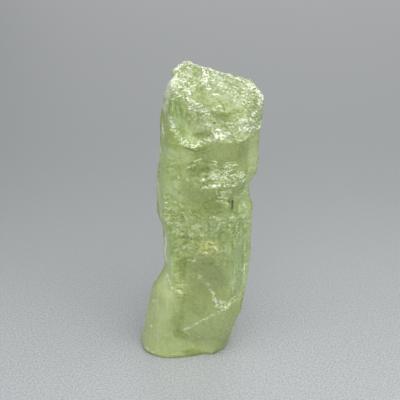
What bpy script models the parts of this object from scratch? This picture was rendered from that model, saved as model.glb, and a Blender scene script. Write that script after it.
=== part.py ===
"""Heliodor crystal: one stout six-sided prism of yellow-green beryl, broken off at both ends.

The crystal stands on its lower break. A small second individual is grown into its lower left side.
Lengths are in millimetres until the mesh is finished, and then become metres.
+X is to the viewer's right, -Y faces the viewer and +Z is up.
"""

import math

import bmesh
import bpy
from mathutils import Vector, noise

METRES_PER_MM = 0.001
NODE_NAME = "heliodor_crystal"

# Prism faces, in order around the crystal: bearing in degrees from the front (positive towards +X),
# distance from the working axis in mm, and how many columns of cells cross the face.
PRISM_FACES = (
    ("left strip", -70, 4.83, 5),
    ("front", -10, 4.02, 19),
    ("right front", 50, 5.95, 9),
    ("right back", 110, 5.47, 8),
    ("back", 170, 2.99, 13),
    ("back left", 230, 3.15, 11),
)
# How far the edge that follows each face is cut back, and the columns across that cut. The deep cut
# is a narrow second-order face.
EDGE_CUTS = ((0.05, 1), (0.05, 1), (0.26, 2), (0.05, 1), (0.07, 1), (0.05, 1))

# Outline of the prism seen from the front: height and the x of its left and of its right side.
LEFT_OUTLINE = (
    (0.0, -4.60), (11.0, -4.18), (14.2, -4.12), (16.6, -4.44), (17.9, -4.94), (22.0, -4.90),
    (24.0, -4.74), (26.4, -4.50), (29.5, -4.40), (31.0, -4.30), (36.0, -4.45),
)
RIGHT_OUTLINE = (
    (0.0, 5.50), (8.0, 5.48), (9.6, 5.60), (11.4, 5.74), (13.0, 5.84), (17.6, 5.92), (19.2, 6.04),
    (19.9, 5.68), (21.3, 5.54), (22.3, 5.74), (23.0, 6.34), (24.6, 6.54), (27.0, 6.50),
    (29.0, 6.72), (30.7, 6.93), (32.4, 6.97), (33.4, 6.50), (36.0, 5.80),
)
AXIS_FOOT = (0.75, -0.75)  # where the rings of the mesh are centred at the base
AXIS_LEAN = 0.02  # how far that centre moves to the right for each mm of height

# Flat breaks near the base that taper the foot: bearing, downward tilt and a point on each plane.
FOOT_BREAKS = (
    ("front", -4.0, 9.4, (0.66, -3.36, 0.0)),
    ("right front", 42.0, 16.0, (2.95, -2.15, 0.0)),
    ("right back", 88.0, 14.9, (3.06, -1.90, 0.0)),
)
FOOT_LINE_LOWEST = 3.6  # the ring line that follows the foot breaks stays between these heights
FOOT_LINE_HIGHEST = 11.5

# The bevels broken from the upper left corner: bearing, upward tilt and a point on each plane.
CORNER_BREAKS = ((-82.0, 13.0, (-4.2, -1.0, 30.4)), (-82.0, 24.0, (-3.72, -1.0, 32.5)))

# Heights of the ledge that runs across the front, by bearing from the front in degrees.
LEDGE_LINE = ((-180, 18.6), (-70, 17.9), (-30, 18.8), (0, 20.3), (25, 20.7), (90, 19.9), (180, 18.6))
LEDGE_DEPTH = 0.42  # recess just above the ledge, which dies out upwards
LEDGE_REACH = 2.8
LEDGE_BEARINGS = (-14.0, 8.0, 36.0, 72.0)  # fades in, full from, full to, faded out

# Lower lip of the large chip on the upper front, and how deep it is at the top, by bearing.
LIP_LINE = (
    (-180, 29.6), (-95, 30.4), (-64, 31.0), (-56, 30.4), (-50, 29.3), (-43, 28.3), (-33, 27.7),
    (-20, 27.35), (-9, 27.6), (0, 28.2), (12, 28.6), (32, 28.3), (50, 28.6), (69, 28.6), (95, 29.4),
    (180, 29.6),
)
CHIP_DEPTH = (
    (-180, 0.0), (-86, 0.0), (-66, 0.45), (-50, 1.15), (-14, 1.85), (20, 1.75), (50, 1.00),
    (66, 0.25), (76, 0.0), (180, 0.0),
)
CHIP_PROFILE = 0.85  # under 1 the chip bites in quickly above its lip

# Shell-shaped scoops, as balls that bite into the stone: centre and radius. The first is the one
# inside the large chip. The others are shallow ones on the back.
SCOOPS = (
    ((-0.70, -6.50, 30.10), 3.70),
    ((2.90, 5.55, 32.10), 3.40),
    ((-4.60, 4.70, 13.60), 3.80),
)

# The upper break: heights along its back rim and along its front rim, by x.
BACK_RIM = (
    (-4.6, 34.0), (-3.0, 34.75), (-2.3, 34.9), (-1.3, 34.8), (0.0, 34.2), (1.6, 33.9), (3.2, 33.55),
    (5.0, 33.15), (6.2, 33.3), (6.9, 32.5),
)
FRONT_RIM = (
    (-4.6, 33.2), (-3.3, 33.9), (-2.4, 33.2), (-0.3, 32.2), (0.8, 31.4), (3.0, 30.8), (5.3, 30.6),
    (6.0, 31.4), (6.6, 32.5), (7.0, 32.5),
)
BACK_RIM_Y = 1.8
FRONT_RIM_Y = -2.7

# The second individual, low on the left: outlines of its sections at three heights.
LOBE_SECTIONS = (
    (0.0, (
        (-7.17, 0.30), (-7.10, -1.20), (-6.74, -2.34), (-6.14, -3.20), (-5.28, -3.78), (-4.26, -4.12),
        (-3.10, -4.16), (-1.86, -3.92), (-0.50, -3.66), (1.00, -3.00), (1.60, -1.90), (1.60, 1.20),
        (-1.60, 2.40), (-4.80, 2.35), (-6.55, 1.60),
    )),
    (8.0, (
        (-5.55, -0.05), (-5.64, -0.95), (-5.30, -1.90), (-4.84, -2.60), (-4.34, -3.12), (-3.50, -3.66),
        (-2.75, -2.70), (-0.60, -1.90), (1.60, -1.60), (1.60, 0.60), (-1.60, 1.30), (-3.80, 1.20),
        (-4.95, 0.70),
    )),
    (11.0, (
        (-3.75, -0.55), (-4.12, -1.00), (-3.90, -1.60), (-3.50, -2.10), (-3.10, -2.40), (-2.60, -2.45),
        (-2.00, -2.10), (-0.60, -1.60), (1.40, -1.20), (1.40, -0.30), (-1.40, 0.10), (-2.60, 0.05),
        (-3.30, -0.15),
    )),
)
LOBE_TOP = 11.0
LOBE_SLANT = 0.9  # how much lower its shoulder lies at the back than at the side

# Rows of cells between one ring line and the next, from the base to the upper rim.
ROWS_TO_FOOT_LINE = 10
ROWS_TO_LEDGE = 19
ROWS_TO_LIP = 14
ROWS_TO_RIM = 11
RIM_PASSES = 6  # repeats that settle the height of the upper rim, which depends on where it lies
# Rings of vertices inside the upper rim: share of the way to the middle, and vertices around.
CAP_RINGS = ((0.10, 72), (0.22, 36), (0.35, 36), (0.48, 36), (0.62, 18), (0.77, 18), (0.90, 9))

# Unevenness of the surface: height of the bumps and their size across.
WAVE_HEIGHT = 0.09
WAVE_SIZE = 3.2
GRAIN_HEIGHT = 0.035
GRAIN_SIZE = 0.9
BREAK_HEIGHT = 0.30
BREAK_SIZE = 1.5
BREAK_LAYER = 3.1  # which slice of the noise the upper break takes
BREAK_FINE_HEIGHT = 0.16
BREAK_FINE_SIZE = 0.6
BREAK_FINE_LAYER = 21.9
CHIP_ROUGHNESS = 0.5  # how rough the large chip is beside the upper break
BASE_EDGE_RADIUS = 0.12  # worn rounding where the sides meet the base


def clear_scene():
    """Start from an empty scene."""
    for leftover in list(bpy.data.objects):
        bpy.data.objects.remove(leftover, do_unlink=True)


def along(stations, key):
    """Value at key on the straight runs between (key, value) stations."""
    if key <= stations[0][0]:
        return stations[0][1]
    for (low, value_low), (high, value_high) in zip(stations, stations[1:]):
        if key <= high:
            return value_low + (value_high - value_low) * (key - low) / (high - low)
    return stations[-1][1]


def ease(low, high, value):
    """0 below low, 1 above high, with a smooth run between."""
    share = min(1.0, max(0.0, (value - low) / (high - low)))
    return share * share * (3.0 - 2.0 * share)


def facing(bearing, tilt=0.0):
    """Unit vector that faces a bearing from the front, tilted up by tilt degrees."""
    turn = math.radians(bearing)
    rise = math.radians(tilt)
    return Vector((math.sin(turn) * math.cos(rise), -math.cos(turn) * math.cos(rise), math.sin(rise)))


def crossing(bearing_a, distance_a, bearing_b, distance_b):
    """Point where two faces of the section meet, seen from above."""
    a = facing(bearing_a)
    b = facing(bearing_b)
    turn = a.x * b.y - a.y * b.x
    return Vector(((distance_a * b.y - distance_b * a.y) / turn, (distance_b * a.x - distance_a * b.x) / turn))


def section_faces():
    """The prism faces with the narrow faces that cut their edges between them."""
    faces = []
    for index, (_, bearing, distance, columns) in enumerate(PRISM_FACES):
        faces.append((bearing, distance, columns))
        _, following, following_distance, _ = PRISM_FACES[(index + 1) % len(PRISM_FACES)]
        if following < bearing:
            following += 360
        edge = crossing(bearing, distance, following, following_distance)
        middle = (bearing + following) / 2
        cut, cut_columns = EDGE_CUTS[index]
        faces.append((middle, facing(middle).to_2d().dot(edge) - cut, cut_columns))
    return faces


def section_columns():
    """Points around the nominal section, one for each column of the mesh."""
    faces = section_faces()
    points = []
    for index, (bearing, distance, columns) in enumerate(faces):
        before = faces[index - 1]
        after = faces[(index + 1) % len(faces)]
        start = crossing(before[0], before[1], bearing, distance)
        end = crossing(bearing, distance, after[0], after[1])
        for step in range(columns):
            points.append(start.lerp(end, step / columns))
    return points


def axis_at(height):
    """Middle of the mesh's rings at a height."""
    return Vector((AXIS_FOOT[0] + AXIS_LEAN * height, AXIS_FOOT[1], height))


def bearing_of(point):
    """Bearing of a section point from the front, seen from the axis."""
    return math.degrees(math.atan2(point.x - AXIS_FOOT[0], AXIS_FOOT[1] - point.y))


def outline_radius(outline, centre, direction):
    """Distance from centre to a closed outline along a direction, or 0 where it isn't met."""
    farthest = 0.0
    for index, (x0, y0) in enumerate(outline):
        x1, y1 = outline[(index + 1) % len(outline)]
        edge = Vector((x1 - x0, y1 - y0))
        to_start = Vector((x0 - centre.x, y0 - centre.y))
        turn = direction.x * edge.y - direction.y * edge.x
        if abs(turn) < 1e-9:
            continue
        reach = (to_start.x * edge.y - to_start.y * edge.x) / turn
        share = (to_start.x * direction.y - to_start.y * direction.x) / turn
        if reach > 0 and -1e-9 <= share <= 1 + 1e-9:
            farthest = max(farthest, reach)
    return farthest


def lobe_radius(centre, direction):
    """How far the second individual reaches from the axis, or 0 above its top."""
    height = centre.z + LOBE_SLANT * direction.y
    if height >= LOBE_TOP:
        return 0.0
    reaches = [(level, outline_radius(outline, centre, direction)) for level, outline in LOBE_SECTIONS]
    return along(reaches, height)


def plane_limit(bearing, tilt, point, centre, direction):
    """Distance from the axis at which a flat break stops the stone along a direction."""
    normal = facing(bearing, tilt)
    towards = normal.to_2d().dot(direction)
    if towards < 1e-6:
        return math.inf
    return normal.dot(Vector(point) - centre) / towards


def scoop_limit(ball, radius, centre, direction):
    """Distance from the axis at which a scoop's ball stops the stone along a direction."""
    ray = Vector((direction.x, direction.y, 0.0))
    offset = centre - Vector(ball)
    half = ray.dot(offset)
    inside = half * half - (offset.length_squared - radius ** 2)
    if inside <= 0:
        return math.inf
    entry = -half - math.sqrt(inside)
    return entry if entry > 0 else math.inf


def top_height(x, y):
    """Height of the upper break over a point."""
    share = ease(FRONT_RIM_Y, BACK_RIM_Y, y)
    smooth = along(FRONT_RIM, x) * (1 - share) + along(BACK_RIM, x) * share
    coarse = noise.noise(Vector((x, y, BREAK_LAYER)) / BREAK_SIZE) * BREAK_HEIGHT
    fine = noise.noise(Vector((x, y, BREAK_FINE_LAYER)) / BREAK_FINE_SIZE) * BREAK_FINE_HEIGHT
    return smooth + coarse + fine


def chip_recess(bearing, height, lip, rim):
    """How far the chip on the upper front sets the surface back."""
    if height <= lip:
        return 0.0
    share = (height - lip) / (rim - lip)
    return along(CHIP_DEPTH, bearing) * share ** CHIP_PROFILE


def ledge_recess(bearing, height, ledge):
    """How far the surface is set back above the ledge."""
    if height <= ledge:
        return 0.0
    fade_in, full_from, full_to, faded_out = LEDGE_BEARINGS
    around = ease(fade_in, full_from, bearing) * (1 - ease(full_to, faded_out, bearing))
    return LEDGE_DEPTH * around * max(0.0, 1 - (height - ledge) / LEDGE_REACH)


def surface_point(column, height, lines):
    """Point of the side surface in one column at one height."""
    nominal, bearing, left, right = column
    centre = axis_at(height)
    share = (nominal.x - left) / (right - left)
    outline_x = along(LEFT_OUTLINE, height) * (1 - share) + along(RIGHT_OUTLINE, height) * share
    offset = Vector((outline_x, nominal.y)) - centre.to_2d()
    direction = offset.normalized()
    reach = offset.length
    reach -= ledge_recess(bearing, height, lines["ledge"])
    reach -= chip_recess(bearing, height, lines["lip"], lines["rim"])
    for _, break_bearing, tilt, point in FOOT_BREAKS:
        reach = min(reach, plane_limit(break_bearing, -tilt, point, centre, direction))
    for break_bearing, tilt, point in CORNER_BREAKS:
        reach = min(reach, plane_limit(break_bearing, tilt, point, centre, direction))
    scooped = min(scoop_limit(ball, radius, centre, direction) for ball, radius in SCOOPS)
    smooth = scooped < reach
    reach = max(min(reach, scooped), lobe_radius(centre, direction))
    place = centre + Vector((direction.x, direction.y, 0.0)) * reach
    wave = noise.noise(place / WAVE_SIZE) * WAVE_HEIGHT
    grain = noise.noise(place / GRAIN_SIZE) * GRAIN_HEIGHT
    if not smooth:
        rough = CHIP_ROUGHNESS * ease(lines["lip"], lines["lip"] + 1.5, height)
        wave += noise.noise(place / BREAK_SIZE) * BREAK_HEIGHT * rough
    worn = BASE_EDGE_RADIUS * (1 - math.sqrt(1 - (1 - min(1.0, height / BASE_EDGE_RADIUS)) ** 2))
    reach += wave + grain - worn
    return centre + Vector((direction.x, direction.y, 0.0)) * reach


def foot_line_height(nominal):
    """Height at which the foot breaks leave the prism in one column."""
    heights = []
    for _, bearing, tilt, point in FOOT_BREAKS:
        normal = facing(bearing, -tilt)
        flat = Vector((nominal.x, nominal.y, 0.0))
        heights.append(normal.dot(flat - Vector(point)) / -normal.z)
    return min(FOOT_LINE_HIGHEST, max(FOOT_LINE_LOWEST, max(heights)))


def column_lines(column):
    """Heights of the ring lines in one column: foot, ledge, lip and rim."""
    nominal, bearing, _, _ = column
    lines = {
        "foot": foot_line_height(nominal),
        "ledge": along(LEDGE_LINE, bearing),
        "lip": along(LIP_LINE, bearing),
        "rim": along(BACK_RIM, nominal.x),
    }
    for _ in range(RIM_PASSES):
        rim_point = surface_point(column, lines["rim"], lines)
        lines["rim"] = top_height(rim_point.x, rim_point.y)
    return lines


def row_heights(lines):
    """Heights of every row of vertices in one column, from the base to the upper rim."""
    stops = (
        (0.0, lines["foot"], ROWS_TO_FOOT_LINE),
        (lines["foot"], lines["ledge"], ROWS_TO_LEDGE),
        (lines["ledge"], lines["lip"], ROWS_TO_LIP),
        (lines["lip"], lines["rim"], ROWS_TO_RIM),
    )
    heights = [0.0]
    for low, high, rows in stops:
        heights.extend(low + (high - low) * (row + 1) / rows for row in range(rows))
    return heights


def build_sides(mesh):
    """Side surface of the crystal. Returns its lowest and its highest ring of vertices."""
    points = section_columns()
    left = min(point.x for point in points)
    right = max(point.x for point in points)
    rings = None
    for nominal in points:
        column = (nominal, bearing_of(nominal), left, right)
        lines = column_lines(column)
        heights = row_heights(lines)
        if rings is None:
            rings = [[] for _ in heights]
        for ring, height in zip(rings, heights):
            ring.append(mesh.verts.new(surface_point(column, height, lines)))
    for low, high in zip(rings, rings[1:]):
        join_rings(mesh, low, high)
    return rings[0], rings[-1]


def join_rings(mesh, low, high):
    """Band of cells between two rings with the same number of vertices."""
    count = len(low)
    for index in range(count):
        following = (index + 1) % count
        mesh.faces.new((low[index], low[following], high[following], high[index]))


def join_halved(mesh, outer, inner):
    """Band of triangles between a ring and one inside it with half as many vertices."""
    for index, vertex in enumerate(inner):
        first = outer[2 * index]
        second = outer[2 * index + 1]
        third = outer[(2 * index + 2) % len(outer)]
        following = inner[(index + 1) % len(inner)]
        mesh.faces.new((first, second, vertex))
        mesh.faces.new((second, following, vertex))
        mesh.faces.new((second, third, following))


def build_upper_break(mesh, rim):
    """Rough upper break, from the rim to a middle vertex."""
    middle_x = sum(vertex.co.x for vertex in rim) / len(rim)
    middle_y = sum(vertex.co.y for vertex in rim) / len(rim)
    outer = rim
    for share, count in CAP_RINGS:
        inner = []
        for vertex in rim[::len(rim) // count]:
            x = vertex.co.x + (middle_x - vertex.co.x) * share
            y = vertex.co.y + (middle_y - vertex.co.y) * share
            inner.append(mesh.verts.new((x, y, top_height(x, y))))
        if count == len(outer):
            join_rings(mesh, outer, inner)
        else:
            join_halved(mesh, outer, inner)
        outer = inner
    middle = mesh.verts.new((middle_x, middle_y, top_height(middle_x, middle_y)))
    for index, vertex in enumerate(outer):
        mesh.faces.new((vertex, outer[(index + 1) % len(outer)], middle))


def stone_material():
    """Clear to cloudy yellow-green beryl."""
    material = bpy.data.materials.new("heliodor")
    material.use_nodes = True
    shader = material.node_tree.nodes["Principled BSDF"]
    shader.inputs["Base Color"].default_value = (0.42, 0.50, 0.24, 1.0)
    shader.inputs["Roughness"].default_value = 0.22
    shader.inputs["Metallic"].default_value = 0.0
    shader.inputs["IOR"].default_value = 1.57
    return material


def build_crystal():
    """The whole crystal as one object, centred over its own base."""
    mesh = bmesh.new()
    base, rim = build_sides(mesh)
    build_upper_break(mesh, rim)
    mesh.faces.new(list(reversed(base)))
    xs = [vertex.co.x for vertex in mesh.verts]
    ys = [vertex.co.y for vertex in mesh.verts]
    centre = Vector(((min(xs) + max(xs)) / 2, (min(ys) + max(ys)) / 2, 0.0))
    for vertex in mesh.verts:
        vertex.co = (vertex.co - centre) * METRES_PER_MM
    bmesh.ops.triangulate(mesh, faces=mesh.faces[:], quad_method="SHORT_EDGE", ngon_method="BEAUTY")
    bmesh.ops.recalc_face_normals(mesh, faces=mesh.faces[:])
    data = bpy.data.meshes.new(NODE_NAME)
    mesh.to_mesh(data)
    mesh.free()
    data.materials.append(stone_material())
    crystal = bpy.data.objects.new(NODE_NAME, data)
    bpy.context.scene.collection.objects.link(crystal)


clear_scene()
build_crystal()
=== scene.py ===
import math
import random

import bmesh
import bpy
import numpy as np
from mathutils import Euler, Matrix, Vector, noise
from mathutils.bvhtree import BVHTree


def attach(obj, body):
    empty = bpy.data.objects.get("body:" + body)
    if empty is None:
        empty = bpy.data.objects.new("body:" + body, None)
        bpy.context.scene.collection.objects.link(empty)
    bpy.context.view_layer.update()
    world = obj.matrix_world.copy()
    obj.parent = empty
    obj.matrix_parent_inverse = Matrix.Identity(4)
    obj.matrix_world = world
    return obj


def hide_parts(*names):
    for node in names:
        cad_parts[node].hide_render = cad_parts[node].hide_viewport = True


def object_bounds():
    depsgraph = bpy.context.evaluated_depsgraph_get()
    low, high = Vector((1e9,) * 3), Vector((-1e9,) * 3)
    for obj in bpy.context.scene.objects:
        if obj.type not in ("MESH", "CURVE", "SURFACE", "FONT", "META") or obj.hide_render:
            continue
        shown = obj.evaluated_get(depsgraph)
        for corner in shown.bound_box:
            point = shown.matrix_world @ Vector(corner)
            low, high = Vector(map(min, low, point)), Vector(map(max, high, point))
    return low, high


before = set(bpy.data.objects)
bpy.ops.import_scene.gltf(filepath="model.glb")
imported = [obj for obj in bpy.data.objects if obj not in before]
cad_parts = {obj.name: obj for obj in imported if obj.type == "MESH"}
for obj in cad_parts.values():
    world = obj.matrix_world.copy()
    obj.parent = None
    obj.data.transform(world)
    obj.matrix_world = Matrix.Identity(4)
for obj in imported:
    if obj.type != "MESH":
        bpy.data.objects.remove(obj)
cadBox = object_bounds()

mm = 0.001


# Camera: the photo was taken from a little above, close to the stone.
camera = {
    "imageSize": 400,  # pixels across the picture
    "aim": (0.049, 0.727, 19.0),  # mm
    "distance": 150.0,  # mm
    "elevation": 28.0,  # degrees above the table
    "focalPixels": 1315.0,  # focal length in pixels of the picture
    "sensor": 36.0,  # mm
    "clipStart": 0.005,  # m
}


def cameraAxes():
    up = math.radians(camera["elevation"])
    forward = Vector((0, math.cos(up), -math.sin(up)))
    right = Vector((1, 0, 0))
    return forward, right, right.cross(forward)


def cameraPlace():
    forward = cameraAxes()[0]
    return (Vector(camera["aim"]) - forward * camera["distance"]) * mm


def pixelRay(px, py):
    forward, right, up = cameraAxes()
    half = camera["imageSize"] / 2
    return (forward + right * ((px - half) / camera["focalPixels"])
            - up * ((py - half) / camera["focalPixels"])).normalized()


def makeCamera():
    data = bpy.data.cameras.new("photoCamera")
    data.sensor_width = camera["sensor"]
    data.lens = camera["sensor"] * camera["focalPixels"] / camera["imageSize"]
    data.clip_start = camera["clipStart"]
    holder = bpy.data.objects.new("photoCamera", data)
    bpy.context.scene.collection.objects.link(holder)
    holder.location = cameraPlace()
    holder.rotation_euler = cameraAxes()[0].to_track_quat("-Z", "Y").to_euler()
    bpy.context.scene.camera = holder
    print("camera ready")


# Shader helpers: a wrapped socket does maths, and one method adds any other node.
class Num:
    def __init__(self, make, socket):
        self.make = make
        self.socket = socket

    def op(self, operation, *others, clamp=False):
        settings = {"operation": operation, "use_clamp": clamp}
        return self.make.num("ShaderNodeMath", settings, dict(enumerate((self, *others))))

    def back(self, operation, other):
        return self.make.num("ShaderNodeMath", {"operation": operation}, {0: other, 1: self})

    def __add__(self, other):
        return self.op("ADD", other)

    def __radd__(self, other):
        return self.back("ADD", other)

    def __sub__(self, other):
        return self.op("SUBTRACT", other)

    def __rsub__(self, other):
        return self.back("SUBTRACT", other)

    def __mul__(self, other):
        return self.op("MULTIPLY", other)

    def __rmul__(self, other):
        return self.back("MULTIPLY", other)

    def clamp(self):
        return self.op("ADD", 0.0, clamp=True)

    def ramp(self, low, high):
        sockets = {"Value": self, "From Min": low, "From Max": high}
        return self.make.num("ShaderNodeMapRange", {"interpolation_type": "SMOOTHSTEP"}, sockets)


class Maker:
    def __init__(self, name):
        self.material = bpy.data.materials.new(name)
        self.material.use_nodes = True
        self.tree = self.material.node_tree
        self.tree.nodes.clear()
        self.place = self.node("ShaderNodeTexCoord").outputs["Object"]

    def node(self, kind, settings=None, sockets=None):
        made = self.tree.nodes.new(kind)
        for name, value in (settings or {}).items():
            setattr(made, name, value)
        for name, value in (sockets or {}).items():
            self.plug(made.inputs[name], value)
        return made

    def plug(self, entry, value):
        if isinstance(value, Num):
            value = value.socket
        if isinstance(value, bpy.types.NodeSocket):
            self.tree.links.new(value, entry)
        else:
            entry.default_value = value

    def num(self, kind, settings=None, sockets=None, output=0):
        return Num(self, self.node(kind, settings, sockets).outputs[output])

    def attribute(self, name):
        return self.num("ShaderNodeAttribute", {"attribute_name": name}, output="Fac")

    def noise(self, size, detail=3.0, roughness=0.5, stretch=None, distortion=0.0):
        sockets = {"Vector": self.stretched(stretch), "Scale": 1 / (size * mm), "Detail": detail,
                   "Roughness": roughness, "Distortion": distortion}
        return self.num("ShaderNodeTexNoise", None, sockets)

    def stretched(self, stretch):
        if not stretch:
            return self.place
        return self.node("ShaderNodeMapping", sockets={"Vector": self.place, "Scale": stretch}).outputs[0]

    def cellShade(self, size, stretch=None):
        # one random shade for each cell, as on small flat facets
        sockets = {"Vector": self.stretched(stretch), "Scale": 1 / (size * mm)}
        colour = self.node("ShaderNodeTexVoronoi", None, sockets).outputs["Color"]
        return Num(self, self.node("ShaderNodeSeparateColor", None, {0: colour}).outputs[0])

    def thread(self, size, width, stretch=None):
        # thin wandering lines
        wander = self.noise(size, 2.0, 0.5, stretch=stretch, distortion=0.6)
        return ((wander - 0.5).op("ABSOLUTE")).ramp(width * 0.5, 0.0)

    def colourRamp(self, share, stops):
        made = self.node("ShaderNodeValToRGB", None, {0: share})
        line = made.color_ramp.elements
        while len(line) < len(stops):
            line.new(0.5)
        for element, (place, colour) in zip(line, stops):
            element.position = place
            element.color = colour
        return made.outputs[0]

    def mixColour(self, share, first, second, blend="MIX"):
        made = self.node("ShaderNodeMix", {"data_type": "RGBA", "blend_type": blend})
        for name, value in {"Factor": share, "A": first, "B": second}.items():
            self.plug([s for s in made.inputs if s.name == name and s.enabled][0], value)
        return [s for s in made.outputs if s.enabled][0]

    def bump(self, height, depth):
        sockets = {"Height": height, "Distance": depth * mm, "Strength": 1.0}
        return self.node("ShaderNodeBump", sockets=sockets).outputs[0]

    def coat(self, colour, roughness, normal, more=None):
        sockets = {"Base Color": colour, "Roughness": roughness, "Normal": normal, **(more or {})}
        return self.node("ShaderNodeBsdfPrincipled", sockets=sockets).outputs[0]

    def finish(self, surface, volume=None):
        sockets = {"Surface": surface}
        if volume is not None:
            sockets["Volume"] = volume
        self.node("ShaderNodeOutputMaterial", sockets=sockets)
        return self.material


# The stone's own material: clear beryl whose skin is hazy, etched and, on the breaks, sugary, with painted
# shade, glow and highlights from its marks.
beryl = {
    "clearTint": (0.98, 0.99, 0.96, 1),
    "ior": 1.575, "absorb": (0.875, 0.955, 0.14, 1), "absorbDensity": 125.0,
    # skin from its darkest, clearest places to its whitest crumbs
    "skin": ((0.0, (0.165, 0.23, 0.045, 1)), (0.30, (0.435, 0.555, 0.175, 1)), (0.52, (0.53, 0.63, 0.315, 1)),
             (0.76, (0.65, 0.73, 0.44, 1)), (1.0, (0.85, 0.90, 0.62, 1))),
    "snowColour": (0.90, 0.92, 0.82, 1),
    "goldColour": (0.62, 0.66, 0.19, 1),
    "sugarTint": (1.0, 0.965, 1.16, 1),
    "sheen": 0.32, "sheenRoughness": 0.5, "sheenTint": (0.84, 1.0, 0.66, 1),
    "coolTint": (0.88, 0.975, 1.16, 1),
    "pitColour": (0.035, 0.04, 0.02, 1),
    "windowRoughness": 0.15, "milkRoughness": 0.55,
    "plainTone": 0.33,
    "bump": 0.07,  # mm
    # fine grain, mottling, clouds and growth lines: size in mm, detail, roughness and stretch
    "noises": ((0.13, 2.0, 0.6), (0.62, 4.0, 0.62, (0.75, 0.75, 1.5)), (2.3, 3.0, 0.55),
               (0.24, 3.0, 0.6, (1.0, 1.0, 0.06))),
    # dashes, crumbs and fine crumbs: size in mm and stretch
    "cells": ((0.26, (1.0, 1.0, 0.16)), (0.30, (0.8, 0.8, 1.3)), (0.15, (0.8, 0.8, 1.5))),
    # threads and gaps: size in mm, width and stretch
    "lines": ((1.1, 0.08, (0.6, 0.6, 1.5)), (0.5, 0.12, (0.7, 0.7, 1.4))),
}


def berylMaterial():
    make = Maker("heliodor")
    names = ("broken", "frostAndHighlight", "clear", "shade", "cool", "gold", "pit", "paleAndGlow", "busy")
    broken, frostAndHighlight, clear, shade, cool, gold, pit, paleAndGlow, busy = (make.attribute(name) for name in names)
    # every pattern but the lines runs from -0.5 to 0.5
    fine, mottle, cloud, striae = (make.noise(*entry) - 0.5 for entry in beryl["noises"])
    dashes, crumbs, crumbsFine = (make.cellShade(*entry) - 0.5 for entry in beryl["cells"])
    threads, gaps = (make.thread(*entry) for entry in beryl["lines"])
    facets = crumbs * 0.5 + crumbsFine * 0.5
    flecks = crumbs * 0.5 + crumbsFine * 1.0 + fine * 1.3 + mottle * 0.8
    haze = (cloud * 2.2 + 0.5).clamp()
    # bright whites: frost, and painted highlights on lit rims and ledges
    bright = (frostAndHighlight * 1.1 - 0.55 + flecks).ramp(0.0, 0.7) * (frostAndHighlight * 1.6).clamp()
    # from the clearest, darkest skin to the whitest; pale marks add painted glow, frost marks painted
    # highlights, shade marks painted shade
    tone = (beryl["plainTone"] + cloud * 0.22 + mottle * (0.16 + busy * 0.44)
            + (fine * 0.28 + crumbsFine * 0.22 + crumbs * 0.32 + threads * haze * 0.16 - gaps * 0.22) * busy
            + striae * (0.12 + cool * 1.2) * (1 - broken) + dashes * cool * 0.45
            + broken * (0.10 + crumbs * 0.16 + crumbsFine * 0.30 + fine * 0.5 + mottle * 0.2 - gaps * 0.12)
            + paleAndGlow * 0.20 + bright * 0.62 - clear * 0.14 - shade * (0.34 + mottle * 0.3)).clamp()
    # how much of the milky skin covers the glass; painted shade raises it, so that the shade shows dark over
    # the bright glass
    share = (tone.ramp(0.15, 0.85) * 0.62 + 0.24 + broken * 0.12 + paleAndGlow * 0.16 + busy * 0.08 - clear * 0.12
             + shade * 0.36 + pit).clamp()
    relief = (striae * 0.4 * (1 - broken) + mottle * (0.3 + busy * 0.4 + broken * 0.3)
              + fine * (0.05 + busy * 0.07 + broken * 0.3)
              + facets * (broken * 0.7 + busy * 0.25 + frostAndHighlight * 0.5).clamp() * 1.1)
    normal = make.bump(relief, beryl["bump"])
    glassNormal = make.bump(cloud * 0.6 + mottle * (0.25 + broken) + facets * broken, beryl["bump"])
    roughness = (beryl["windowRoughness"] + haze * 0.22 + broken * 0.1 - clear * 0.06).clamp()
    glass = make.coat(beryl["clearTint"], roughness, glassNormal, {
        "IOR": beryl["ior"], "Transmission Weight": 1.0})
    skin = make.colourRamp(tone, beryl["skin"])
    cooled = make.mixColour(1.0, skin, beryl["coolTint"], blend="MULTIPLY")
    skin = make.mixColour((cool * 0.8 + cloud * 1.5 + mottle * 0.5).clamp(), skin, cooled)
    sugar = make.mixColour(1.0, skin, beryl["sugarTint"], blend="MULTIPLY")
    skin = make.mixColour(broken, skin, sugar)
    skin = make.mixColour((gold * (0.85 + crumbs * 0.9 + mottle * 1.8)).clamp(), skin, beryl["goldColour"])
    skin = make.mixColour(frostAndHighlight.ramp(0.8, 1.0) * tone.ramp(0.5, 0.85), skin, beryl["snowColour"])
    skin = make.mixColour(pit, skin, beryl["pitColour"])
    milky = make.coat(skin, beryl["milkRoughness"] - frostAndHighlight * 0.12 - broken * 0.10, normal, {
        "IOR": beryl["ior"], "Sheen Weight": beryl["sheen"], "Sheen Roughness": beryl["sheenRoughness"],
        "Sheen Tint": beryl["sheenTint"]})
    surface = make.node("ShaderNodeMixShader", sockets={0: share, 1: glass, 2: milky}).outputs[0]
    volume = make.node("ShaderNodeVolumeAbsorption", sockets={
        "Color": beryl["absorb"], "Density": beryl["absorbDensity"]}).outputs[0]
    return make.finish(surface, volume)


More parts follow.
